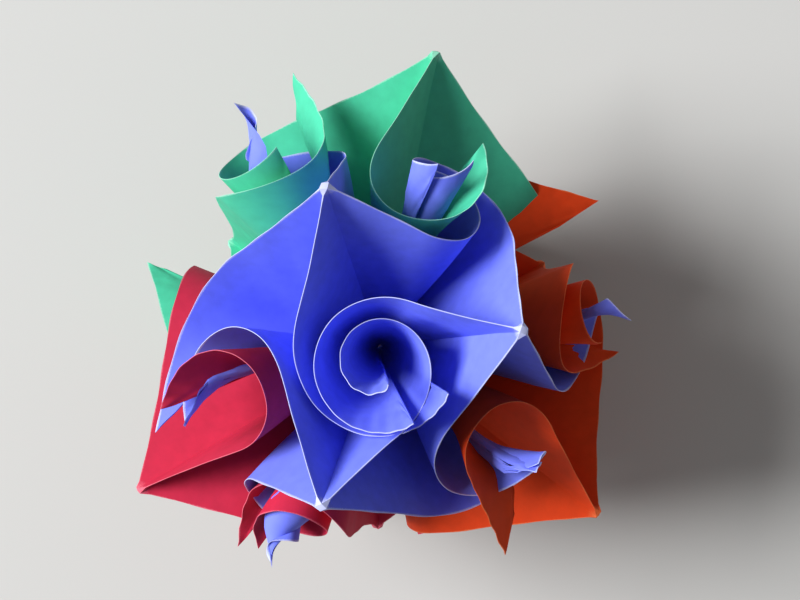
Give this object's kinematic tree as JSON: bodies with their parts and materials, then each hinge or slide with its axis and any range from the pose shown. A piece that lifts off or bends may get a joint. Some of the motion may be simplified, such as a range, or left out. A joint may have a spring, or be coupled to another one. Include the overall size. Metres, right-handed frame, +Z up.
{
  "type": "kusudama paper ball",
  "caption": "Ball of folded square sheets whose curled fins are wound into one another, without glue or thread.",
  "frame": {"origin": "on the table, under the middle of the ball's bounding box", "axes": "+Z up through the crown curl, as the ball lies in the picture; +Y towards the top edge of the picture; +X towards its right edge"},
  "size_m": [0.0936, 0.097, 0.0952],
  "materials": {
    "paper_blue": "matt, dyed paper",
    "paper_green": "matt, dyed paper",
    "paper_orange": "matt, dyed paper",
    "paper_red": "matt, dyed paper"
  },
  "bodies": {
    "root": {"blue_unit_1": "paper_blue", "blue_unit_2": "paper_blue", "blue_unit_3": "paper_blue", "green_outer_unit": "paper_green", "orange_outer_unit": "paper_orange", "red_outer_unit": "paper_red", "green_lower_unit": "paper_green", "orange_lower_unit": "paper_orange", "red_lower_unit": "paper_red", "orange_bottom_unit": "paper_orange", "red_bottom_unit": "paper_red", "green_bottom_unit": "paper_green"}
  },
  "joints": []
}
